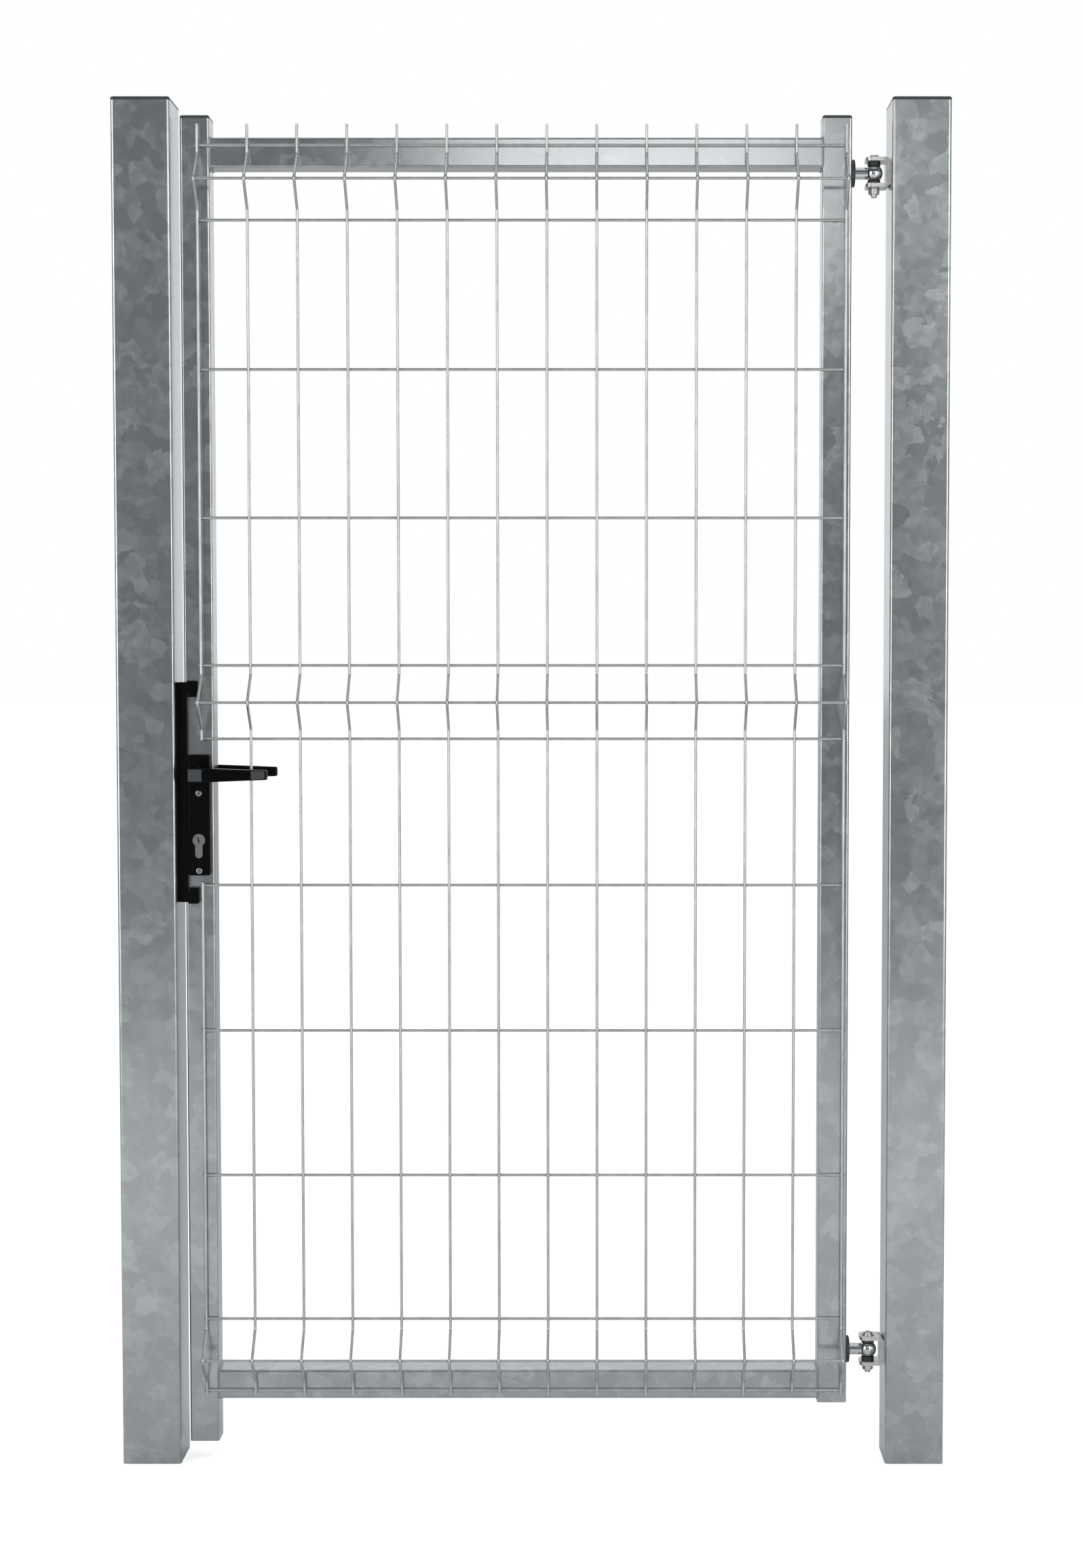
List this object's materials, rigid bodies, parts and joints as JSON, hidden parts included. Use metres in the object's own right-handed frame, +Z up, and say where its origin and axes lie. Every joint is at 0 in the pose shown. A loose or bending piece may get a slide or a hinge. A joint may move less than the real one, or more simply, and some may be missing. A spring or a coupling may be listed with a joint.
{
  "type": "garden gate",
  "caption": "Single-leaf garden gate: folded wire mesh in a square-tube frame between two posts, with eye-bolt hinges, lock and lever handles.",
  "frame": {"origin": "on the ground, half-way between the posts' outer faces and in the leaf's mid-plane", "axes": "+X from the latch post to the hinge post, +Y from the front (stop side) to the back, +Z up"},
  "size_m": [1.129, 0.136, 1.86],
  "materials": {
    "galvanised_tube": "hot-dip galvanised with faint spangle",
    "dark_cap": "moulded, satin",
    "mesh_wire": "galvanised wire, satin",
    "zinc_bracket": "cast and galvanised, matt",
    "zinc_fastener": "zinc plated",
    "polished_steel": "polished",
    "black_plastic": "moulded",
    "black_coated": "black powder coat, satin",
    "bright_screw": "bright zinc",
    "stainless": "brushed",
    "lock_steel": "zinc plated",
    "cylinder_nickel": "satin nickel"
  },
  "bodies": {
    "posts": {"latch_post": "galvanised_tube", "hinge_post": "galvanised_tube", "latch_post_cap": "dark_cap", "hinge_post_cap": "dark_cap", "bracket_sleeves": "zinc_fastener", "keep_bar": "black_coated", "keep_upper_stop": "black_coated", "keep_lower_stop": "black_coated", "keep_screws": "black_coated", "keep_sleeves": "zinc_fastener", "upper_hinge_bracket": "zinc_bracket", "upper_bracket_screws": "zinc_fastener", "upper_hinge_pin": "zinc_fastener", "upper_hinge_nut": "zinc_fastener", "upper_hinge_washers": "black_plastic", "lower_hinge_bracket": "zinc_bracket", "lower_bracket_screws": "zinc_fastener", "lower_hinge_pin": "zinc_fastener", "lower_hinge_nut": "zinc_fastener", "lower_hinge_washers": "black_plastic"},
    "leaf": {"latch_stile": "galvanised_tube", "hinge_stile": "galvanised_tube", "top_rail": "galvanised_tube", "bottom_rail": "galvanised_tube", "latch_stile_cap": "dark_cap", "hinge_stile_cap": "dark_cap", "mesh_upright_wires": "mesh_wire", "mesh_cross_wires": "mesh_wire", "hinge_insert_nuts": "zinc_fastener", "upper_hinge_eye_bolt": "polished_steel", "upper_hinge_disc": "black_plastic", "lower_hinge_eye_bolt": "polished_steel", "lower_hinge_disc": "black_plastic", "lock_case": "lock_steel", "lock_cover": "lock_steel", "lock_case_rivets": "zinc_fastener", "lock_forend": "stainless", "forend_screws": "zinc_fastener", "cylinder_screw": "zinc_fastener", "latch_spring": "lock_steel", "cylinder_body": "cylinder_nickel", "front_plate": "black_coated", "rear_plate": "black_coated", "front_lever_bush": "black_plastic", "rear_lever_bush": "black_plastic", "plate_screws": "bright_screw"},
    "handle": {"front_lever": "black_coated", "rear_lever": "black_coated", "handle_spindle": "lock_steel", "lock_follower": "lock_steel", "lever_grub_screws": "black_coated"},
    "latch": {"latch_bolt": "stainless"},
    "dead_lock": {"dead_bolt": "stainless"},
    "cylinder_plugs": {"cylinder_front_plug": "cylinder_nickel", "cylinder_rear_plug": "cylinder_nickel", "cylinder_cam": "lock_steel"}
  },
  "joints": [
    {"name": "leaf_swing", "type": "hinge", "parent": "posts", "child": "leaf", "pos_m": [0.464, 0, 0.957], "axis": [0, 0, -1], "range_deg": [0, 90]},
    {"name": "handle_turn", "type": "hinge", "parent": "leaf", "child": "handle", "pos_m": [-0.4545, 0, 0.95], "axis": [0, 1, 0], "range_deg": [0, 40], "stiffness_Nm_per_rad": 1.2, "springref_deg": -34.38},
    {"name": "latch_draw", "type": "slide", "parent": "leaf", "child": "latch", "axis": [1, 0, 0], "range_m": [0, 0.0095], "deforming": ["latch_spring"]},
    {"name": "key_turn", "type": "hinge", "parent": "leaf", "child": "cylinder_plugs", "pos_m": [-0.4545, 0, 0.86], "axis": [0, 1, 0], "range_deg": [0, 360]},
    {"name": "dead_bolt_throw", "type": "slide", "parent": "leaf", "child": "dead_lock", "axis": [-1, 0, 0], "range_m": [0, 0.014]}
  ],
  "couplings": [
    {"joint": "latch_draw", "follows": "handle_turn", "m_per_rad": 0.013607},
    {"joint": "dead_bolt_throw", "follows": "key_turn", "m_per_rad": 0.002227}
  ]
}
